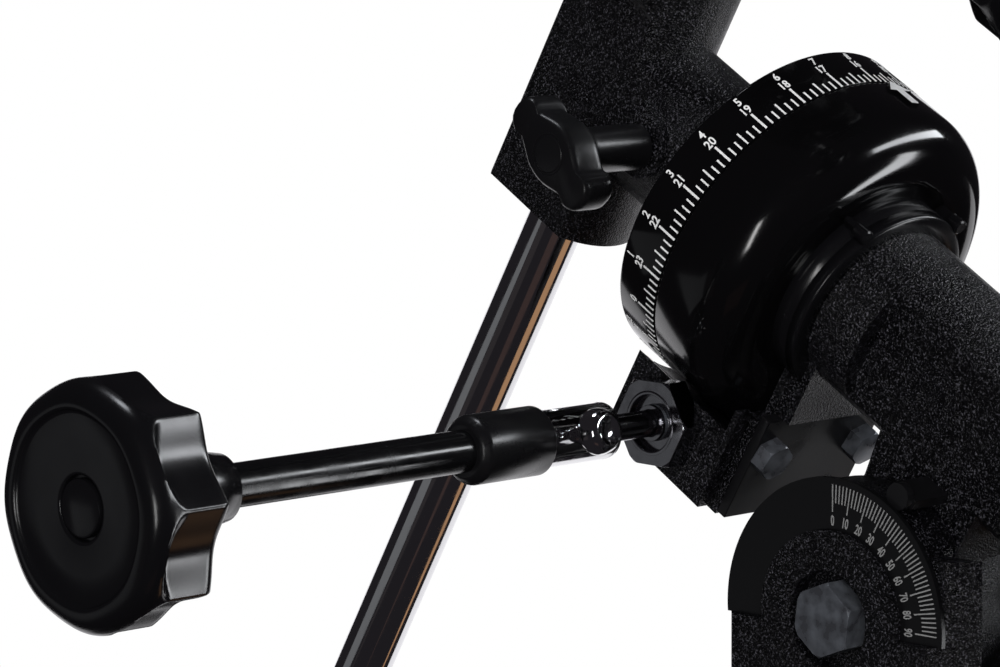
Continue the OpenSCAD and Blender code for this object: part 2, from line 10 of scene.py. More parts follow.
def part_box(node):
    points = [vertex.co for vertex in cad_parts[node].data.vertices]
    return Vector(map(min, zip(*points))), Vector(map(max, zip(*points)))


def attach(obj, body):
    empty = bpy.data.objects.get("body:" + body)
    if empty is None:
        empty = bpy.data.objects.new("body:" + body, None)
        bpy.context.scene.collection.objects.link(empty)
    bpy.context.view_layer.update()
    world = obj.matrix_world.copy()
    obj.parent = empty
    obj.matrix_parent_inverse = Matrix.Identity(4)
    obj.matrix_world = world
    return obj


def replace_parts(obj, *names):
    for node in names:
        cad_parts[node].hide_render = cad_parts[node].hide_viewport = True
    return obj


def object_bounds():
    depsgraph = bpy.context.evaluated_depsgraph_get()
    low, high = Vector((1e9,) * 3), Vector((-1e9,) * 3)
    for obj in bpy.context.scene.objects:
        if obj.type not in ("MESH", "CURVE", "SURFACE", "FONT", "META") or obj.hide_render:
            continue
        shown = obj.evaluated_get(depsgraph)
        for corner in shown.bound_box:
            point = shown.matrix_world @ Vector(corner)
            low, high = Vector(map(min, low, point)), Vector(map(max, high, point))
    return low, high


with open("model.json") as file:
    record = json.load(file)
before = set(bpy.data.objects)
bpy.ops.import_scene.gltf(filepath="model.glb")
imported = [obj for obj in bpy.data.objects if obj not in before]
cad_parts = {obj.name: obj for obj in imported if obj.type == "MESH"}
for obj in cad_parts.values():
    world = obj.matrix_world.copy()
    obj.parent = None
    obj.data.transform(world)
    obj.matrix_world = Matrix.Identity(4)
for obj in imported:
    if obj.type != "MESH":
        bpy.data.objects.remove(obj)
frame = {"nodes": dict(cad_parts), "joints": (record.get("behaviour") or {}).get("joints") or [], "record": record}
cad_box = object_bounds()

MM = 0.001
SEGMENTS = 160   # steps of a full turn in the large turned pieces
EAST, NORTH, UP = Vector((1, 0, 0)), Vector((0, 1, 0)), Vector((0, 0, 1))
JOINTS = {joint["name"]: joint for joint in frame["joints"]}


# ---- Places, all worked out from the frame's joints ---------------------------------------------

def joint_line(name):
    """A point on the joint's axis and the axis's direction."""
    joint = JOINTS[name]
    return Vector(joint["pos_m"]), Vector(joint["axis"]).normalized()


def place(origin, x_axis, y_axis, z_axis):
    """Matrix from a local frame in millimetres to the row frame in metres."""
    columns = [axis.normalized() * MM for axis in (x_axis, y_axis, z_axis)]
    matrix = Matrix.Identity(4)
    for column, axis in enumerate([*columns, origin]):
        for row in range(3):
            matrix[row][column] = axis[row]
    return matrix


def nearest(point, line_point, direction):
    """The point of a line that is nearest to another point."""
    return line_point + direction * (point - line_point).dot(direction)


latitude_centre, _ = joint_line("latitude_tilt")
polar_point, POLE = joint_line("ra_clutch")
dec_point, DEC_UP = joint_line("dec_clutch")
ra_knob_point, _ = joint_line("ra_knob_turn")
dec_knob_point, _ = joint_line("dec_knob_turn")

polar_origin = nearest(latitude_centre, polar_point, POLE)
crossing = nearest(dec_point, polar_point, POLE)
CONTROL_POINT = 30 * MM   # a control's joint is marked this far out from its worm

POLAR = place(polar_origin, EAST, -DEC_UP, POLE)
DECLINATION = place(crossing, EAST, POLE, DEC_UP)
LATITUDE = place(latitude_centre, -NORTH, UP, -EAST)
RA_WORM = ra_knob_point + EAST * CONTROL_POINT
DEC_WORM = dec_knob_point + POLE * CONTROL_POINT
ROW = place(Vector(), EAST, NORTH, UP)
RA_CONTROL = place(RA_WORM, POLE, -DEC_UP, -EAST)
DEC_CONTROL = place(DEC_WORM, EAST, DEC_UP, -POLE)


# ---- Materials ----------------------------------------------------------------------------------

def new_material(name, color, roughness, metallic=0.0, coat=0.0, specular=0.5):
    """A Principled material with its constants set on the shader's own sockets."""
    material = bpy.data.materials.new(name)
    material.use_nodes = True
    shader = material.node_tree.nodes["Principled BSDF"]
    shader.inputs["Base Color"].default_value = (*color, 1)
    shader.inputs["Roughness"].default_value = roughness
    shader.inputs["Metallic"].default_value = metallic
    shader.inputs["Coat Weight"].default_value = coat
    shader.inputs["Coat Roughness"].default_value = 0.06
    shader.inputs["Specular IOR Level"].default_value = specular
    return material


def texture(material, kind, scale, detail=2.0):
    """A texture node that reads the object's own coordinates."""
    nodes, links = material.node_tree.nodes, material.node_tree.links
    coords = nodes.new("ShaderNodeTexCoord")
    node = nodes.new(kind)
    node.inputs["Scale"].default_value = scale
    if "Detail" in node.inputs:
        node.inputs["Detail"].default_value = detail
    links.new(coords.outputs["Object"], node.inputs["Vector"])
    return node


def add_bump(material, height, strength, distance, after=None):
    """Bumps the surface by a height socket, on top of an earlier bump."""
    nodes, links = material.node_tree.nodes, material.node_tree.links
    bump = nodes.new("ShaderNodeBump")
    bump.inputs["Strength"].default_value = strength
    bump.inputs["Distance"].default_value = distance
    links.new(height, bump.inputs["Height"])
    if after is not None:
        links.new(after.outputs["Normal"], bump.inputs["Normal"])
    links.new(bump.outputs["Normal"], nodes["Principled BSDF"].inputs["Normal"])
    return bump


def vary(material, socket, height, low, high, source=(0.35, 0.65)):
    """Drives a shader socket between two values by a texture."""
    nodes, links = material.node_tree.nodes, material.node_tree.links
    ramp = nodes.new("ShaderNodeMapRange")
    ramp.inputs["From Min"].default_value = source[0]
    ramp.inputs["From Max"].default_value = source[1]
    ramp.inputs["To Min"].default_value = low
    ramp.inputs["To Max"].default_value = high
    links.new(height, ramp.inputs["Value"])
    links.new(ramp.outputs["Result"], nodes["Principled BSDF"].inputs[socket])


def tint(material, height, dark, light, source=(0.3, 0.7)):
    """Varies the base colour between two colours by a texture."""
    nodes, links = material.node_tree.nodes, material.node_tree.links
    ramp = nodes.new("ShaderNodeValToRGB")
    ramp.color_ramp.elements[0].position = source[0]
    ramp.color_ramp.elements[0].color = (*dark, 1)
    ramp.color_ramp.elements[1].position = source[1]
    ramp.color_ramp.elements[1].color = (*light, 1)
    links.new(height, ramp.inputs["Fac"])
    links.new(ramp.outputs["Color"], nodes["Principled BSDF"].inputs["Base Color"])


def crinkle_paint():
    """Fine black crinkle finish of the castings, with painted glints as light bluish specks in its base colour."""
    material = new_material("crinkle_paint", (0.006, 0.0058, 0.0068), 0.34, specular=0.6)
    grain = texture(material, "ShaderNodeTexNoise", 2600, 1)
    lumps = texture(material, "ShaderNodeTexVoronoi", 1900)
    first = add_bump(material, grain.outputs["Fac"], 1.0, 0.00035)
    add_bump(material, lumps.outputs["Distance"], 0.5, 0.0002, first)
    wear = texture(material, "ShaderNodeTexNoise", 60, 5)
    vary(material, "Roughness", wear.outputs["Fac"], 0.26, 0.4)
    # painted glints: the light bluish end of this tint stands in for the sparkle of lamps on the crinkle's bumps
    tint(material, grain.outputs["Fac"], (0.0006, 0.0006, 0.0008), (0.085, 0.083, 0.098),
         source=(0.57, 0.76))
    return material


def gloss_moulding():
    """Polished black moulding with faint flow marks."""
    material = new_material("gloss_moulding", (0.0022, 0.0021, 0.0024), 0.1)
    flow = texture(material, "ShaderNodeTexNoise", 24, 2)
    add_bump(material, flow.outputs["Fac"], 0.06, 0.0006)
    smear = texture(material, "ShaderNodeTexNoise", 45, 6)
    vary(material, "Roughness", smear.outputs["Fac"], 0.07, 0.16)
    return material


def knob_moulding():
    """Black moulding of the control knobs, less polished than the bell covers."""
    material = new_material("knob_moulding", (0.0035, 0.0034, 0.004), 0.2)
    flow = texture(material, "ShaderNodeTexNoise", 30, 2)
    add_bump(material, flow.outputs["Fac"], 0.08, 0.0006)
    smear = texture(material, "ShaderNodeTexNoise", 60, 6)
    vary(material, "Roughness", smear.outputs["Fac"], 0.17, 0.27)
    return material


def satin_moulding():
    """Satin black moulding."""
    material = new_material("satin_moulding", (0.0045, 0.0044, 0.005), 0.3)
    grain = texture(material, "ShaderNodeTexNoise", 900, 3)
    add_bump(material, grain.outputs["Fac"], 0.12, 0.00008)
    smear = texture(material, "ShaderNodeTexNoise", 70, 5)
    vary(material, "Roughness", smear.outputs["Fac"], 0.24, 0.38)
    return material


def printed_plate():
    """Satin anodised plate that carries the latitude scale."""
    material = new_material("printed_plate", (0.003, 0.003, 0.0034), 0.36)
    grain = texture(material, "ShaderNodeTexNoise", 1200, 2)
    add_bump(material, grain.outputs["Fac"], 0.15, 0.00006)
    return material


def rod_enamel():
    """Black enamel of the control rods."""
    material = new_material("rod_enamel", (0.003, 0.003, 0.0034), 0.2)
    drawn = texture(material, "ShaderNodeTexNoise", 160, 4)
    add_bump(material, drawn.outputs["Fac"], 0.14, 0.0002)
    vary(material, "Roughness", drawn.outputs["Fac"], 0.16, 0.3)
    return material


def weight_enamel():
    """Thick black enamel over cast iron."""
    material = new_material("weight_enamel", (0.01, 0.01, 0.011), 0.28, coat=0.3)
    peel = texture(material, "ShaderNodeTexNoise", 260, 3)
    add_bump(material, peel.outputs["Fac"], 0.25, 0.0003)
    return material


def chrome_plate():
    """Bright plate with hairline scratches."""
    material = new_material("chrome_plate", (0.72, 0.72, 0.73), 0.07, metallic=1.0)
    scratch = texture(material, "ShaderNodeTexNoise", 420, 6)
    vary(material, "Roughness", scratch.outputs["Fac"], 0.04, 0.13)
    wave = texture(material, "ShaderNodeTexNoise", 25, 2)
    add_bump(material, wave.outputs["Fac"], 0.06, 0.0006)
    return material


def dark_steel():
    """Blackened fastener steel."""
    material = new_material("dark_steel", (0.14, 0.15, 0.17), 0.3, metallic=0.45)
    stain = texture(material, "ShaderNodeTexNoise", 320, 6)
    tint(material, stain.outputs["Fac"], (0.05, 0.052, 0.06), (0.13, 0.14, 0.16),
         source=(0.36, 0.66))
    vary(material, "Roughness", stain.outputs["Fac"], 0.24, 0.46)
    add_bump(material, stain.outputs["Fac"], 0.2, 0.00015)
    return material


def bright_steel():
    """Turned and ground steel."""
    material = new_material("bright_steel", (0.34, 0.34, 0.36), 0.14, metallic=1.0)
    grain = texture(material, "ShaderNodeTexNoise", 500, 5)
    vary(material, "Roughness", grain.outputs["Fac"], 0.08, 0.2)
    add_bump(material, grain.outputs["Fac"], 0.12, 0.0001)
    return material


def bronze():
    """Sintered bronze of the bushes and wheels."""
    material = new_material("bronze", (0.45, 0.29, 0.12), 0.35, metallic=1.0)
    pores = texture(material, "ShaderNodeTexNoise", 900, 4)
    tint(material, pores.outputs["Fac"], (0.3, 0.18, 0.07), (0.5, 0.33, 0.14))
    add_bump(material, pores.outputs["Fac"], 0.2, 0.0001)
    return material


def white_paint(name, brightness):
    """Printed or moulded white, slightly uneven."""
    material = new_material(name, (brightness,) * 3, 0.45)
    print_grain = texture(material, "ShaderNodeTexNoise", 1400, 3)
    thin_print = brightness * 0.82
    tint(material, print_grain.outputs["Fac"], (thin_print,) * 3, (brightness,) * 3)
    return material


MATERIALS = {
    "crinkle_black": crinkle_paint(),
    "gloss_black": gloss_moulding(),
    "satin_black": satin_moulding(),
    "rod_black": rod_enamel(),
    "weight_black": weight_enamel(),
    "chrome": chrome_plate(),
    "dark_steel": dark_steel(),
    "bright_steel": bright_steel(),
    "bronze": bronze(),
    "white_mark": white_paint("white_mark", 0.9),
}
# Looks of single pieces, which keep the slot of their node.
PLATE = printed_plate()
KNOB_PAINT = knob_moulding()
SCALE_PRINT = white_paint("scale_print", 0.26)
NODE_SLOT = {part["node"]: part["material_slot"] for part in frame["record"]["subparts"]}


def set_material(obj, material):
    obj.data.materials.clear()
    obj.data.materials.append(material)


# ---- CAD nodes ----------------------------------------------------------------------------------

# Bevel widths of the nodes in each slot, in millimetres.
SOFT_EDGES = {
    "crinkle_black": 0.7,
    "satin_black": 0.5,
    "dark_steel": 0.25,
    "weight_black": 0.8,
    "bright_steel": 0.15,
}


def soften(obj, width):
    """Rounds a CAD node's sharp edges with modifiers, which leave its mesh as it is."""
    weld = obj.modifiers.new("weld", "WELD")
    weld.merge_threshold = 1e-6
    flat = obj.modifiers.new("flat", "DECIMATE")
    flat.decimate_type = "DISSOLVE"
    flat.angle_limit = math.radians(0.5)
    bevel = obj.modifiers.new("bevel", "BEVEL")
    bevel.width = width * MM
    bevel.segments = 2
    bevel.limit_method = "ANGLE"
    bevel.angle_limit = math.radians(38)
    bevel.use_clamp_overlap = True
    bevel.harden_normals = True


def dress_cad_nodes():
    for name, obj in frame["nodes"].items():
        slot = NODE_SLOT[name]
        set_material(obj, MATERIALS[slot])
        if slot in SOFT_EDGES:
            soften(obj, SOFT_EDGES[slot])
    set_material(frame["nodes"]["latitude_scale"], PLATE)
    set_material(frame["nodes"]["latitude_pointer"], MATERIALS["satin_black"])


# ---- Mesh helpers -------------------------------------------------------------------------------

def add_piece(name, bm, matrix, slot, body, smooth=True, sharp=35, paint=None):
    """Turns a bmesh in a local frame into a piece that rides on a body."""
    bmesh.ops.recalc_face_normals(bm, faces=bm.faces)
    mesh = bpy.data.meshes.new(name)
    bm.to_mesh(mesh)
    bm.free()
    mesh.transform(matrix)
    if smooth:
        mesh.shade_smooth()
        mesh.set_sharp_from_angle(angle=math.radians(sharp))
    obj = bpy.data.objects.new(name, mesh)
    bpy.context.scene.collection.objects.link(obj)
    set_material(obj, paint or MATERIALS[slot])
    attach(obj, body)
    return obj


def arc(centre, radius, start, end, steps):
    """Points of an arc in a profile, with angles in degrees."""
    points = []
    for i in range(steps + 1):
        angle = math.radians(start + (end - start) * i / steps)
        points.append((centre[0] + radius * math.cos(angle),
                       centre[1] + radius * math.sin(angle)))
    return points


def join_rings(bm, rings):
    """Joins closed profiles that follow each other round an axis."""
    for here, there in zip(rings, rings[1:] + rings[:1]):
        for j in range(len(here)):
            k = (j + 1) % len(here)
            bm.faces.new((here[j], here[k], there[k], there[j]))
    bmesh.ops.remove_doubles(bm, verts=bm.verts, dist=1e-5)


def lathe(profile, segments=SEGMENTS):
    """Turns a closed profile of (radius, height) points about Z."""
    bm = bmesh.new()
    rings = []
    for i in range(segments):
        angle = 2 * math.pi * i / segments
        cos, sin = math.cos(angle), math.sin(angle)
        rings.append([bm.verts.new((r * cos, r * sin, z)) for r, z in profile])
    join_rings(bm, rings)
    return bm


def turned(matrix, origin, about_y=0.0, about_z=0.0):
    """A frame moved to a local origin, then turned about Y and about its new Z, in degrees."""
    moved = matrix @ Matrix.Translation(origin)
    return (moved @ Matrix.Rotation(math.radians(about_y), 4, "Y")
            @ Matrix.Rotation(math.radians(about_z), 4, "Z"))


def box_bmesh(low, high):
    """A plain bar between two corners."""
    bm = bmesh.new()
    centre = (Vector(low) + Vector(high)) / 2
    size = Vector(high) - Vector(low)
    matrix = Matrix.Translation(centre) @ Matrix.Diagonal((*size, 1))
    bmesh.ops.create_cube(bm, size=1, matrix=matrix)
    return bm


def merge_into(target, source, move):
    """Adds a bmesh to another, each vertex moved by a function."""
    copies = {vert: target.verts.new(move(vert.co)) for vert in source.verts}
    for face in source.faces:
        target.faces.new([copies[vert] for vert in face.verts])
    source.free()


def stack(outlines):
    """Closed solid through equal outlines, each a list of (x, y, z) points."""
    bm = bmesh.new()
    rings = [[bm.verts.new(point) for point in outline] for outline in outlines]
    count = len(rings[0])
    for lower, upper in zip(rings, rings[1:]):
        for i in range(count):
            k = (i + 1) % count
            bm.faces.new((lower[i], lower[k], upper[k], upper[i]))
    bm.faces.new(rings[-1])
    bm.faces.new(list(reversed(rings[0])))
    return bm


# ---- Control knobs ------------------------------------------------------------------------------

KNOB_R = 22.5
KNOB_HUB = 16
KNOB_THICK = 17
KNOB_LOBES = 8
KNOB_PHASE = math.radians(12)
KNOB_STEPS = 384           # steps of a full turn
SCOOP_DEPTH = 2.7
SIDE_WAVE = 0.35           # the side stays this much lower between ridges, up to the front rim
SCOOP_FROM_R = 15          # scoops fade in from here
SCOOP_FADE_R = 6           # over this much radius
RIM_WIDTH = 3.3            # front rim that the scoops leave at a scoop's middle
RIM_ARCH = 2.6             # how much wider it is at the ridges
RIM_FADE = 1.9             # height over which a scoop runs out


def knob_profile(root):
    """Closed outline of a control knob: hub, back, side, rim, dished face and its cap's recess."""
    back = root + KNOB_HUB
    face = back + KNOB_THICK
    profile = [(0, root + 4.05), (4.1, root + 4.05), (4.1, root), (5.7, root), (6.2, root + 0.4)]
    profile += [(7.4, root + 7), (8.4, back - 3), (9.6, back - 1), (11.5, back)]
    profile += [(14, back), (17, back)]
    profile += arc((KNOB_R - 2, back + 2), 2, -90, 0, 6)
    steps = 22
    profile += [(KNOB_R, back + 2 + (KNOB_THICK - 6) * i / steps) for i in range(1, steps)]
    profile += arc((KNOB_R - 4, face - 4), 4, 0, 62, 7)
    profile += [(19.6, face - 0.22), (18.6, face - 0.02), (17.9, face), (17.5, face - 0.12)]
    profile += [(17.25, face - 0.45), (17.0, face - 0.75), (16.5, face - 0.95), (12, face - 1.25)]
    profile += [(6.6, face - 1.4), (6.1, face - 1.45), (5.85, face - 1.7), (5.8, face - 2.6)]
    profile += [(0, face - 2.6)]
    return profile, face


def scalloped_knob(root):
    """Knob whose side is scooped out between narrow ridges, short of its front rim."""
    profile, face = knob_profile(root)
    bm = bmesh.new()
    rings = []
    pitch = 2 * math.pi / KNOB_LOBES
    for i in range(KNOB_STEPS):
        angle = 2 * math.pi * i / KNOB_STEPS
        # 0 in the middle of a scoop and 1 on a ridge
        across = abs(((angle - KNOB_PHASE) / pitch + 0.5) % 1 - 0.5) * 2
        swell = 0.5 + 0.5 * math.cos(math.pi * across)
        scoop = 0.8 * (1 - across ** 2.2) + 0.2 * swell
        rim = RIM_WIDTH + RIM_ARCH * across ** 3
        ring = []
        for r, z in profile:
            outer = min(1, max(0, (r - SCOOP_FROM_R) / SCOOP_FADE_R))
            behind = min(1, max(0, (face - z - rim) / RIM_FADE))
            behind = behind * behind * (3 - 2 * behind)
            radius = r - outer * (SIDE_WAVE * swell + SCOOP_DEPTH * scoop * behind)
            ring.append(bm.verts.new((radius * math.cos(angle), radius * math.sin(angle), z)))
        rings.append(ring)
    join_rings(bm, rings)
    return bm, face


def control_knob(prefix, matrix, root):
    """A knob and its cap, in place of the plain ones."""
    bm, face = scalloped_knob(root)
    body = prefix + "_control"
    knob = add_piece(prefix + "_knob_shaped", bm, matrix, "gloss_black", body, sharp=50,
                     paint=KNOB_PAINT)
    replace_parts(knob, prefix + "_knob")
    cap = [(0, face - 2.95), (5.2, face - 2.95), (5.3, face - 1.7), (5.15, face - 1.3)]
    cap += [(4.8, face - 1.15), (0, face - 1.1)]
    piece = add_piece(prefix + "_knob_cap_shaped", lathe(cap, 96), matrix, "gloss_black", body,
                      paint=KNOB_PAINT)
    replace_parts(piece, prefix + "_knob_cap")


# ---- Lock knobs ---------------------------------------------------------------------------------

WING_DEPTH = 8      # front face to the wings' back
WING_HALF = 13      # half the span of the wings
RA_LOCK_FACE = (-42.5, -1, 94)       # middle of the knob's front face, in the polar frame
DEC_LOCK_FACE = (38, 0, 62)          # in the declination frame
AZIMUTH_LOCK_FACE = (-50, 0, 23)     # in the row frame
AZIMUTH_WING_HALF = 14


def wing_outline():
    """Outline of a two-winged knob: a round middle, necks and rounded wing ends."""
    quarter = [(WING_HALF, 0), (12.9, 1.2), (12.4, 2.5), (11.5, 3.5), (10.3, 4.0), (9.2, 3.85)]
    quarter += [(8.3, 3.5), (7.3, 3.7), (6.0, 4.35), (4.5, 5.1), (3.0, 5.75), (1.5, 6.1), (0, 6.2)]
    upper = quarter + [(-x, y) for x, y in reversed(quarter[:-1])]
    return upper + [(x, -y) for x, y in reversed(upper[1:-1])]


def wing_knob(node, matrix, body, stem, reach=1.0):
    """Lock knob with its front face at z = 0, in place of the plain one; its wings lie along X."""
    name = node + "_shaped"
    # heights and how far the outline is drawn in there
    levels = [(-WING_DEPTH, 1.1), (-7.7, 0.5), (-7, 0.1), (-6, 0), (-1.5, 0), (-0.75, 0.15)]
    levels += [(-0.25, 0.5), (0, 1.0)]
    outlines = []
    for z, inset in levels:
        outline = []
        for x, y in wing_outline():
            x *= reach
            share = 1 - inset / math.hypot(x, y)
            outline.append((x * share, y * share, z))
        outlines.append(outline)
    wings = add_piece(name, stack(outlines), matrix, "satin_black", body, sharp=50)
    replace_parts(wings, node)
    low = -WING_DEPTH - stem
    shank = [(3.05, low), (4.3, low), (4.6, low + 0.3), (4.6, -10), (4.9, -8.6), (5.6, -7.6)]
    shank += [(3.05, -7.6)]
    add_piece(name + "_stem", lathe(shank, 64), matrix, "satin_black", body)
    button = [(0, -0.5), (3.75, -0.5), (3.75, 0), (3.6, 0.12), (3.2, 0.16), (0, 0.2)]
    add_piece(name + "_button", lathe(button, 64), matrix, "satin_black", body)
    groove = [(3.95, -0.5), (4.25, -0.5), (4.25, 0.05), (4.1, 0.1), (3.95, 0.05)]
    add_piece(name + "_groove", lathe(groove, 64), matrix, "satin_black", body)


# ---- Bell covers and setting circles ------------------------------------------------------------

CIRCLE_R = 36.0
DEC_CIRCLE_R = 31.0
DEC_BELL_R = 33.4
BELL_WALL = 2.2
RA_BELL_FACE_R, DEC_BELL_FACE_R = 26.5, 26
RA_BELL_HOLE_R, DEC_BELL_HOLE_R = 17.3, 9
RA_CIRCLE_BORE_R, DEC_CIRCLE_BORE_R = 16.25, 8.05
CIRCLE_WEB = 3                # thickness of the hollow circle's face
WINDOW_HALF = 13              # half width of a bell's opening for its worm block
RA_WINDOW_H, DEC_WINDOW_H = 12.1, 13.9
RA_WINDOW_FROM, DEC_WINDOW_FROM = 25, 24   # the openings start this far out from the axis
FIRST_HOUR = math.radians(-26.72)          # where the right-ascension circle's 0 stands
HOURS, HOUR_PARTS = 24, 6
TENS, TEN_PARTS = 36, 5


def stations(node, origin, direction):
    """Lowest and highest place of a CAD node along an axis, in millimetres."""
    vertices = frame["nodes"][node].data.vertices
    along = [(vert.co - origin).dot(direction) / MM for vert in vertices]
    return min(along), max(along)


def bell_profile(rim_r, face_r, low, high, hole):
    """Closed outline of a bell cover: recessed back, rounded shoulder and straight side."""
    shoulder = rim_r - face_r
    outer = arc((face_r, low + shoulder), shoulder, -90, 0, 18)
    inner = arc((face_r, low + shoulder), shoulder - BELL_WALL, 0, -90, 12)
    profile = [(hole, low + BELL_WALL + 0.6), (hole, low + 0.95), (face_r - 4.6, low + 0.9)]
    profile += [(face_r - 3.6, low + 0.75), (face_r - 2.6, low + 0.3), (face_r - 1.6, low + 0.06)]
    profile += outer
    profile += [(rim_r, high - 0.45), (rim_r - 0.12, high - 0.14), (rim_r - 0.45, high)]
    profile += [(rim_r - BELL_WALL, high)]
    profile += inner
    return profile


def as_object(bm):
    """Throwaway object that holds a bmesh."""
    bmesh.ops.recalc_face_normals(bm, faces=bm.faces)
    mesh = bpy.data.meshes.new("throwaway")
    bm.to_mesh(mesh)
    bm.free()
    obj = bpy.data.objects.new("throwaway", mesh)
    bpy.context.scene.collection.objects.link(obj)
    return obj


def cut_box(bm, low, high):
    """The bmesh with the box between two corners taken out of it."""
    shell, cutter = as_object(bm), as_object(box_bmesh(low, high))
    cut = shell.modifiers.new("cut", "BOOLEAN")
    cut.operation = "DIFFERENCE"
    cut.object = cutter
    cut.solver = "EXACT"
    result = bmesh.new()
    result.from_object(shell, bpy.context.evaluated_depsgraph_get())
    for obj in (shell, cutter):
        mesh = obj.data
        bpy.data.objects.remove(obj)
        bpy.data.meshes.remove(mesh)
    return result


def circle_profile(radius, bore, low, high, hollow):
    """Closed outline of a setting circle with rounded outer edges."""
    profile = [(bore, high), (bore, low + hollow)]
    if hollow:
        profile += [(radius - BELL_WALL, low + hollow), (radius - BELL_WALL, low)]
    profile += [(radius - 0.4, low), (radius - 0.1, low + 0.15), (radius, low + 0.45)]
    profile += arc((radius - 0.9, high - 0.9), 0.9, 0, 90, 6)
    return profile


def covers_and_circles():
    """Bell covers and setting circles of both axes."""
    low, high = stations("bell_cover", polar_origin, POLE)
    bell = lathe(bell_profile(CIRCLE_R, RA_BELL_FACE_R, low, high, RA_BELL_HOLE_R))
    bell = cut_box(bell, (-WINDOW_HALF, RA_WINDOW_FROM, high - RA_WINDOW_H),
                   (WINDOW_HALF, CIRCLE_R + 1, high + 1))
    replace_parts(add_piece("bell_cover_shaped", bell, POLAR, "gloss_black", "polar"), "bell_cover")
    low, high = stations("ra_circle", polar_origin, POLE)
    ring = lathe(circle_profile(CIRCLE_R, RA_CIRCLE_BORE_R, low, high, high - low - CIRCLE_WEB))
    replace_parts(add_piece("ra_circle_shaped", ring, POLAR, "gloss_black", "ra_ring"), "ra_circle")
    circle_markings("ra_markings", POLAR, "ra_ring", CIRCLE_R, low, HOURS, HOUR_PARTS,
                    FIRST_HOUR, 2.05)

    low, high = stations("dec_bell", crossing, DEC_UP)
    bell = lathe(bell_profile(DEC_BELL_R, DEC_BELL_FACE_R, low, high, DEC_BELL_HOLE_R))
    bell = cut_box(bell, (-DEC_BELL_R - 1, -WINDOW_HALF, high - DEC_WINDOW_H),
                   (-DEC_WINDOW_FROM, WINDOW_HALF, high + 1))
    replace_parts(add_piece("dec_bell_shaped", bell, DECLINATION, "gloss_black", "head"), "dec_bell")
    low, high = stations("dec_circle", crossing, DEC_UP)
    ring = lathe(circle_profile(DEC_CIRCLE_R, DEC_CIRCLE_BORE_R, low, high, 0))
    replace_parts(add_piece("dec_circle_shaped", ring, DECLINATION, "gloss_black", "dec_ring"),
                "dec_circle")
    circle_markings("dec_markings", DECLINATION, "dec_ring", DEC_CIRCLE_R, low, TENS, TEN_PARTS,
                    0, 1.7)


# ---- Markings -----------------------------------------------------------------------------------

CAP_HEIGHT = 0.73          # of the font's digits, as a share of its size
STROKE_SWELL = 0.028       # strokes are thickened by this share of the height
FULL_DIGIT = 2.05          # digit height that these tick lengths and row places go with
LONG_TICK, HALF_TICK, SHORT_TICK = 4.75, 3.4, 2.4
LONG_TICK_HALF, TICK_HALF = 0.23, 0.185
TICK_START = 0.12          # gap below a circle's ticks
TICK_SUNK = 0.1
TICK_PROUD = 0.05
NEAR_ROW = 1.45            # gap from the long ticks to the middle of the first row of numbers
ROW_PITCH = 2.62
CIRCLE_DIGIT_WIDTH = 0.8   # digits are narrowed to this share

SCALE_END_DEG, SCALE_TICK_DEG, SCALE_NUMBER_DEG = 90, 2, 10
SCALE_TICK_TO_R = 25.7
SCALE_TICK_FROM_R, SCALE_LONG_FROM_R = 22.2, 20.5
SCALE_TICK_HALF = 0.13
SCALE_TICK_PROUD = 0.04
SCALE_NUMBER_R = 18.85

ARROW_TURN = 8             # degrees round the bell from the top line
ARROW_FOOT_Z = 54          # foot of the arrow along the polar axis
ARROW_PROUD = 0.6          # how far the raised arrow stands off the bell
ARROW_FOOT, ARROW_SHOULDER, ARROW_TIP = 0.12, 4.55, 7.75
ARROW_STEM_HALF, ARROW_HEAD_HALF = 1.05, 3.05


def digits_bmesh(text, height, width_share, depth=0.14):
    """Digits as a closed solid centred on the origin: X along the line and Y up."""
    curve = bpy.data.curves.new("digits", "FONT")
    curve.body = text
    curve.size = height / CAP_HEIGHT
    curve.extrude = depth / 2
    curve.offset = height * STROKE_SWELL
    curve.resolution_u = 3
    obj = bpy.data.objects.new("digits", curve)
    bpy.context.scene.collection.objects.link(obj)
    evaluated = obj.evaluated_get(bpy.context.evaluated_depsgraph_get())
    mesh = bpy.data.meshes.new_from_object(evaluated)
    bm = bmesh.new()
    bm.from_mesh(mesh)
    bpy.data.objects.remove(obj)
    bpy.data.curves.remove(curve)
    bpy.data.meshes.remove(mesh)
    bmesh.ops.remove_doubles(bm, verts=bm.verts, dist=1e-4)
    xs = [vert.co.x for vert in bm.verts]
    ys = [vert.co.y for vert in bm.verts]
    middle = Vector(((min(xs) + max(xs)) / 2, (min(ys) + max(ys)) / 2, 0))
    for vert in bm.verts:
        vert.co -= middle
        vert.co.x *= width_share
    return bm


def raise_by(bm, height):
    """Moves a bmesh along Y."""
    for vert in bm.verts:
        vert.co.y += height
    return bm


def circle_markings(name, matrix, body, radius, low, numbers, parts, first, digit_h):
    """Ticks and two rows of numbers round a setting circle: hours, or tens of degrees."""
    def wrap(start):
        def move(co):
            angle = start + co.x / radius
            out = radius + co.z
            return (-out * math.cos(angle), -out * math.sin(angle), co.y)
        return move

    bm = bmesh.new()
    step = 2 * math.pi / numbers
    size = digit_h / FULL_DIGIT
    near = low + (LONG_TICK + NEAR_ROW) * size
    far = near + ROW_PITCH * size
    for k in range(numbers):
        for part in range(parts):
            length = LONG_TICK if part == 0 else HALF_TICK if 2 * part == parts else SHORT_TICK
            half = LONG_TICK_HALF if part == 0 else TICK_HALF
            tick = box_bmesh((-half, low + TICK_START, -TICK_SUNK),
                             (half, low + length * size, TICK_PROUD))
            merge_into(bm, tick, wrap(first + step * (k + part / parts)))
        rows = [((numbers - k) % numbers, near)]
        if k:
            rows.append((k, far))
        for number, height in rows:
            digits = digits_bmesh(str(number), digit_h, CIRCLE_DIGIT_WIDTH)
            merge_into(bm, raise_by(digits, height), wrap(first + step * k))
    add_piece(name, bm, matrix, "white_mark", body, smooth=False)


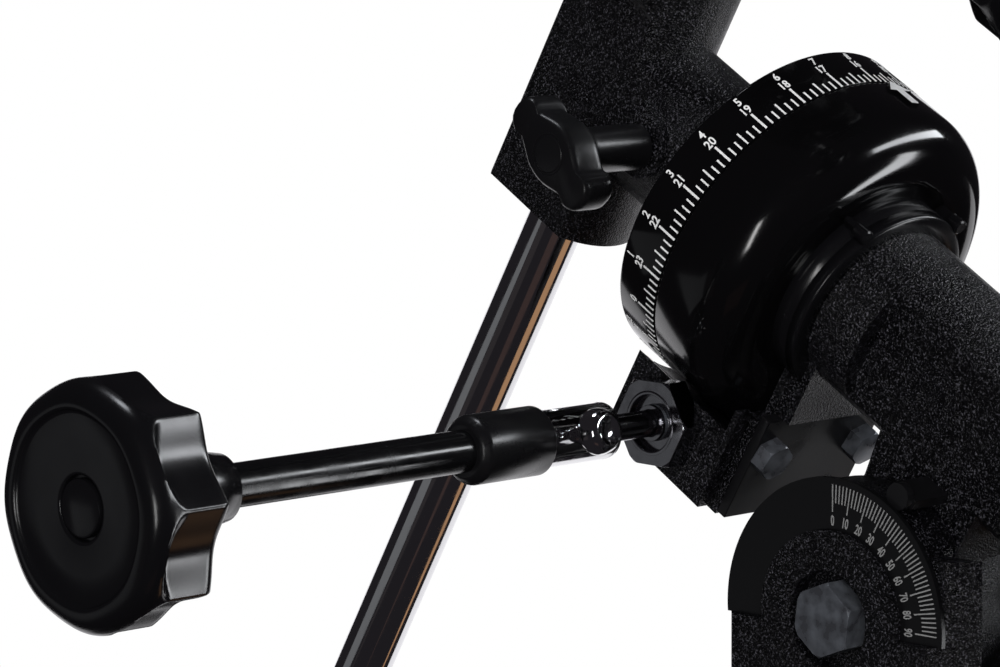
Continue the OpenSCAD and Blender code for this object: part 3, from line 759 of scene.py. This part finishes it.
def arrow_face():
    """White face of the arrow on the bell cover; its raised sides stay black."""
    stem, head = ARROW_STEM_HALF, ARROW_HEAD_HALF
    outline = [(-stem, ARROW_FOOT), (stem, ARROW_FOOT), (stem, ARROW_SHOULDER)]
    outline += [(head, ARROW_SHOULDER), (0, ARROW_TIP), (-head, ARROW_SHOULDER)]
    outline += [(-stem, ARROW_SHOULDER)]
    white = stack([[(x, y, z) for x, y in outline] for z in (-0.05, 0.08)])
    bell = POLAR @ Matrix.Rotation(math.radians(ARROW_TURN), 4, "Z")
    top = bell @ Matrix.Translation((0, -CIRCLE_R - ARROW_PROUD, ARROW_FOOT_Z))
    add_piece("bell_arrow_face", white, top @ Matrix.Rotation(math.radians(90), 4, "X"),
              "white_mark", "polar", smooth=False)
    set_material(frame["nodes"]["bell_arrow"], MATERIALS["gloss_black"])


def latitude_markings():
    """Ticks from 0 at the top of the latitude scale to 90, with a number at every tenth."""
    front = (latitude_centre.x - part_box("latitude_scale")[0].x) / MM
    bm = bmesh.new()

    def spin(angle):
        def move(co):
            return (co.x * math.cos(angle) + co.y * math.sin(angle),
                    co.y * math.cos(angle) - co.x * math.sin(angle), front + co.z)
        return move

    for degrees in range(0, SCALE_END_DEG + 1, SCALE_TICK_DEG):
        inner = SCALE_TICK_FROM_R if degrees % SCALE_NUMBER_DEG else SCALE_LONG_FROM_R
        tick = box_bmesh((-SCALE_TICK_HALF, inner, -TICK_SUNK),
                         (SCALE_TICK_HALF, SCALE_TICK_TO_R, SCALE_TICK_PROUD))
        merge_into(bm, tick, spin(math.radians(degrees)))
    for degrees in range(0, SCALE_END_DEG + 1, SCALE_NUMBER_DEG):
        digits = raise_by(digits_bmesh(str(degrees), 2.0, 0.6, 0.1), SCALE_NUMBER_R)
        merge_into(bm, digits, spin(math.radians(degrees)))
    add_piece("latitude_markings", bm, LATITUDE, "white_mark", "yoke", smooth=False,
              paint=SCALE_PRINT)


# ---- Small fittings -----------------------------------------------------------------------------

MARK_CENTRE = (-12.5, -0.2, 9.9)       # on the polar housing's west face, in the polar frame
THUMBSCREW_AT = 50.8                   # along the control from its worm
SLEEVE_END = 39.95
COLLAR_INNER_R, COLLAR_OUTER_R = 17.2, 21.0
COLLAR_TAB_TURN = 38                   # degrees of each tab from the top line
COLLAR_TAB_REACH = 2.4
COLLAR_TAB_HALF = 0.6
BEARING_FACE_AT = 26.7                 # face of a bearing cap from the middle of its worm


def casting_mark():
    """Round mark on the flat west side of the polar housing: a raised disc with an inner ring."""
    matrix = turned(POLAR, MARK_CENTRE, -90)
    disc = [(0, -0.3), (7.1, -0.3), (7.0, 0.2), (6.6, 0.32), (5.9, 0.24), (5.2, 0.14)]
    disc += [(4.1, 0.14), (3.75, 0.3), (3.4, 0.32), (3.05, 0.16), (0, 0.14)]
    add_piece("casting_mark", lathe(disc, 96), matrix, "crinkle_black", "polar")


def thumbscrew(prefix, matrix, angle):
    """Domed clamp screw of a control sleeve."""
    across = matrix @ Matrix.Rotation(math.radians(angle), 4, "Z")
    profile = [(0, 2.75), (1.95, 2.75), (1.95, 5.9), (2.3, 6.3), (2.3, 6.9), (1.8, 7.4)]
    profile += [(1.75, 8.3), (3.4, 8.45), (4.2, 8.8), (4.5, 9.4), (4.55, 10.2)]
    profile += arc((0, 10.0), 4.5, 6, 34, 4)
    profile += [(3.2, 12.9), (2.8, 12.95), (2.3, 12.6), (1.2, 12.25), (0, 12.2)]
    piece = add_piece(prefix + "_thumbscrew_shaped", lathe(profile, 72),
                      turned(across, (0, 0, THUMBSCREW_AT), -90), "chrome", prefix + "_screw")
    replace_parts(piece, prefix + "_thumbscrew")


def sleeve_mouth(prefix, matrix):
    """Turned end of a control's sleeve."""
    low, high = SLEEVE_END, SLEEVE_END + 0.95
    mouth = [(2.7, low), (5.2, low), (5.45, low + 0.2), (5.55, low + 0.65), (5.45, high)]
    mouth += [(2.7, high)]
    add_piece(prefix + "_sleeve_mouth", lathe(mouth, 96), matrix, "chrome", prefix + "_control")


def collar():
    """Ring behind the bell cover, with its two clamping tabs, in place of the plain one."""
    low, high = stations("bell_collar", polar_origin, POLE)
    inner, outer = COLLAR_INNER_R, COLLAR_OUTER_R
    profile = [(inner, high), (inner, low + 0.3), (inner + 0.3, low), (outer - 0.6, low)]
    profile += [(outer - 0.15, low + 0.2), (outer, low + 0.6), (outer, low + 2.5)]
    profile += [(outer - 0.35, low + 2.75), (outer - 0.35, low + 3.0), (outer, low + 3.25)]
    profile += [(outer, high)]
    ring = add_piece("bell_collar_shaped", lathe(profile), POLAR, "gloss_black", "polar", sharp=60,
                     paint=KNOB_PAINT)
    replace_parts(ring, "bell_collar")
    knuckle = [(0, low - 0.3), (1.2, low - 0.3), (1.5, low), (1.5, low + 2.6), (1.2, low + 2.9)]
    knuckle += [(0, low + 2.9)]
    half, reach = COLLAR_TAB_HALF, outer + COLLAR_TAB_REACH
    for side, label in ((-1, "west"), (1, "east")):
        turn = POLAR @ Matrix.Rotation(math.radians(side * COLLAR_TAB_TURN), 4, "Z")
        tab = box_bmesh((-half, -reach, low), (half, -outer + 0.5, high - 0.6))
        bmesh.ops.bevel(tab, geom=tab.edges[:], offset=0.2, segments=2, affect="EDGES")
        add_piece("collar_tab_" + label, tab, turn, "gloss_black", "polar", paint=KNOB_PAINT)
        middle = Matrix.Translation((0, -outer - COLLAR_TAB_REACH / 2, 0))
        add_piece("collar_knuckle_" + label, lathe(knuckle, 48), turn @ middle, "gloss_black",
                  "polar", paint=KNOB_PAINT)


def bearing_face(name, matrix, body, side):
    """Turned recess and lock ring in the face of a bearing cap."""
    turned_face = matrix if side > 0 else matrix @ Matrix.Rotation(math.pi, 4, "X")
    face = BEARING_FACE_AT
    ring = [(5.62, face - 1.5), (5.62, face - 0.1), (5.75, face + 0.06), (6.1, face + 0.1)]
    ring += [(6.4, face + 0.04), (6.5, face - 0.2), (6.5, face - 1.5)]
    add_piece(name + "_lip", lathe(ring, 96), turned_face, "bright_steel", body)
    washer = [(2.75, face - 1.62), (2.75, face - 0.7), (3.3, face - 0.6), (3.6, face - 0.75)]
    washer += [(3.6, face - 1.62)]
    add_piece(name + "_race", lathe(washer, 96), turned_face, "dark_steel", body)


def details():
    covers_and_circles()
    latitude_markings()
    arrow_face()
    casting_mark()
    collar()
    control_knob("ra", RA_CONTROL, stations("ra_knob", RA_WORM, -EAST)[0])
    control_knob("dec", DEC_CONTROL, stations("dec_knob", DEC_WORM, -POLE)[0])
    thumbscrew("ra", RA_CONTROL, 42)
    thumbscrew("dec", DEC_CONTROL, 0)
    wing_knob("ra_lock_knob", turned(POLAR, RA_LOCK_FACE, -90, -16), "ra_lock", stem=16.6)
    wing_knob("dec_lock_knob", turned(DECLINATION, DEC_LOCK_FACE, 90), "dec_lock", stem=12)
    wing_knob("azimuth_lock_knob", turned(ROW, AZIMUTH_LOCK_FACE, -90, 90), "azimuth_lock", stem=11,
              reach=AZIMUTH_WING_HALF / WING_HALF)
    for prefix, matrix, housing in (("ra", RA_CONTROL, "polar"), ("dec", DEC_CONTROL, "head")):
        sleeve_mouth(prefix, matrix)
        for side, label in ((1, "outer"), (-1, "inner")):
            bearing_face(f"{prefix}_bearing_{label}", matrix, housing, side)


# ---- Camera, floor and lights -------------------------------------------------------------------

CAMERA_FROM_CENTRE = Vector((-599.27, -510.53, 150.32)) * MM   # from the latitude axis
CAMERA_HEADING = 43.71      # eastward from north, in degrees
CAMERA_TILT = -7.12
CAMERA_ROLL = -0.32
CAMERA_LENS = 148.46        # millimetres, on a 36 mm wide sensor
FLOOR_DROP = 0.06           # metres below the lowest piece
FLOOR_R = 8


def towards(direction):
    """Unit vector of an azimuth from north, eastward, and an elevation, in degrees."""
    azimuth, elevation = (math.radians(angle) for angle in direction)
    return Vector((math.sin(azimuth) * math.cos(elevation),
                   math.cos(azimuth) * math.cos(elevation), math.sin(elevation)))


def make_camera():
    """Long lens from the south-west, a little above the latitude axis."""
    camera_data = bpy.data.cameras.new("camera")
    camera_data.lens = CAMERA_LENS
    camera_data.sensor_width = 36
    camera_data.clip_start = 0.05
    camera_data.clip_end = 60
    camera = bpy.data.objects.new("camera", camera_data)
    bpy.context.scene.collection.objects.link(camera)
    aim = towards((CAMERA_HEADING, CAMERA_TILT)).to_track_quat("-Z", "Y")
    roll = Matrix.Rotation(math.radians(CAMERA_ROLL), 3, "Z").to_quaternion()
    camera.rotation_mode = "QUATERNION"
    camera.rotation_quaternion = aim @ roll
    camera.location = latitude_centre + CAMERA_FROM_CENTRE
    bpy.context.scene.camera = camera


def area_light(name, aim, direction, distance, size, power, color=(1, 1, 1), shine=True):
    """Soft box that looks at a point from a direction."""
    data = bpy.data.lights.new(name, "AREA")
    data.shape = "RECTANGLE"
    data.size, data.size_y = size
    data.energy = power
    data.color = color
    light = bpy.data.objects.new(name, data)
    bpy.context.scene.collection.objects.link(light)
    away = towards(direction)
    light.visible_glossy = shine
    light.location = aim + away * distance
    light.rotation_euler = (-away).to_track_quat("-Z", "Y").to_euler()


def glow(name, color, strength):
    """Material of a surface that only gives off light."""
    material = new_material(name, (0, 0, 0), 1.0, specular=0)
    shader = material.node_tree.nodes["Principled BSDF"]
    shader.inputs["Emission Color"].default_value = (*color, 1)
    shader.inputs["Emission Strength"].default_value = strength
    return material


def make_world():
    """White behind the object, a dark studio in its reflections."""
    world = bpy.data.worlds.new("studio")
    bpy.context.scene.world = world
    world.use_nodes = True
    nodes, links = world.node_tree.nodes, world.node_tree.links
    backdrop = nodes["Background"]
    backdrop.inputs["Color"].default_value = (1, 1, 1, 1)
    backdrop.inputs["Strength"].default_value = 1.0
    room = nodes.new("ShaderNodeBackground")
    room.inputs["Color"].default_value = (1.0, 0.9, 1.06, 1)
    room.inputs["Strength"].default_value = 0.016
    rays = nodes.new("ShaderNodeLightPath")
    mix = nodes.new("ShaderNodeMixShader")
    links.new(rays.outputs["Is Camera Ray"], mix.inputs["Fac"])
    links.new(room.outputs["Background"], mix.inputs[1])
    links.new(backdrop.outputs["Background"], mix.inputs[2])
    links.new(mix.outputs["Shader"], nodes["World Output"].inputs["Surface"])


def make_floor():
    """White floor below the hanging counterweight."""
    low = cad_box[0].z - FLOOR_DROP
    bpy.ops.mesh.primitive_circle_add(vertices=96, radius=FLOOR_R, fill_type="NGON",
                                      location=(0, 0, low))
    floor = bpy.context.object
    floor.name = "floor"
    set_material(floor, glow("floor_white", (1, 1, 1), 1.0))
    floor.visible_glossy = False
    floor.visible_diffuse = False


def make_screen(name, aim, radius, azimuths, elevations, color, strength):
    """Glowing screen on a cylinder about the object, between azimuths and elevations in degrees."""
    steps = 24
    bm = bmesh.new()
    columns = []
    for i in range(steps + 1):
        azimuth = math.radians(azimuths[0] + (azimuths[1] - azimuths[0]) * i / steps)
        around = aim + Vector((math.sin(azimuth), math.cos(azimuth), 0)) * radius
        heights = [radius * math.tan(math.radians(elevation)) for elevation in elevations]
        columns.append([bm.verts.new(around + Vector((0, 0, height))) for height in heights])
    for left, right in zip(columns, columns[1:]):
        bm.faces.new((left[0], right[0], right[1], left[1]))
    mesh = bpy.data.meshes.new(name)
    bm.to_mesh(mesh)
    bm.free()
    screen = bpy.data.objects.new(name, mesh)
    bpy.context.scene.collection.objects.link(screen)
    set_material(screen, glow(name, color, strength))
    screen.visible_camera = False


def make_studio():
    """Screens that show in the gloss and the chrome, and the lights, all round one point."""
    aim = latitude_centre + Vector((0, 0.02, 0.06))
    make_world()
    make_floor()
    make_screen("white_screen", aim, 1.6, (-4, 96), (-45, -14), (1, 0.99, 1.02), 1.0)
    make_screen("upper_screen", aim, 1.6, (16, 66), (-14, 5), (1, 0.99, 1.02), 1.0)
    make_screen("warm_screen", aim, 0.9, (112, 150), (-60, -46), (1.0, 0.56, 0.3), 0.45)
    make_screen("dim_screen", aim, 0.9, (-150, -112), (-58, -44), (1.0, 0.66, 0.62), 0.05)
    make_screen("grey_card", aim, 1.2, (-80, -62), (-30, -8), (1.0, 0.88, 0.94), 0.032)
    make_screen("front_card", aim, 1.2, (-60, -32), (-24, -7), (0.94, 0.96, 1.0), 0.16)
    area_light("right_box", aim, (137, -18), 1.3, (0.22, 0.75), 5, (0.95, 0.97, 1.0))
    area_light("shoulder_box", aim, (132, 20), 1.3, (1.3, 0.2), 9, (0.93, 0.96, 1.0))
    area_light("left_box", aim, (-117, -3), 1.3, (0.1, 0.5), 2.2)
    area_light("top_box", aim, (-20, 75), 1.3, (0.3, 0.3), 3.0, (0.9, 0.93, 1.0))
    area_light("soft_fill", aim, (-130, 20), 1.6, (1.2, 1.2), 25, shine=False)
    bpy.context.scene.view_settings.view_transform = "Standard"


make_camera()
dress_cad_nodes()
details()
make_studio()
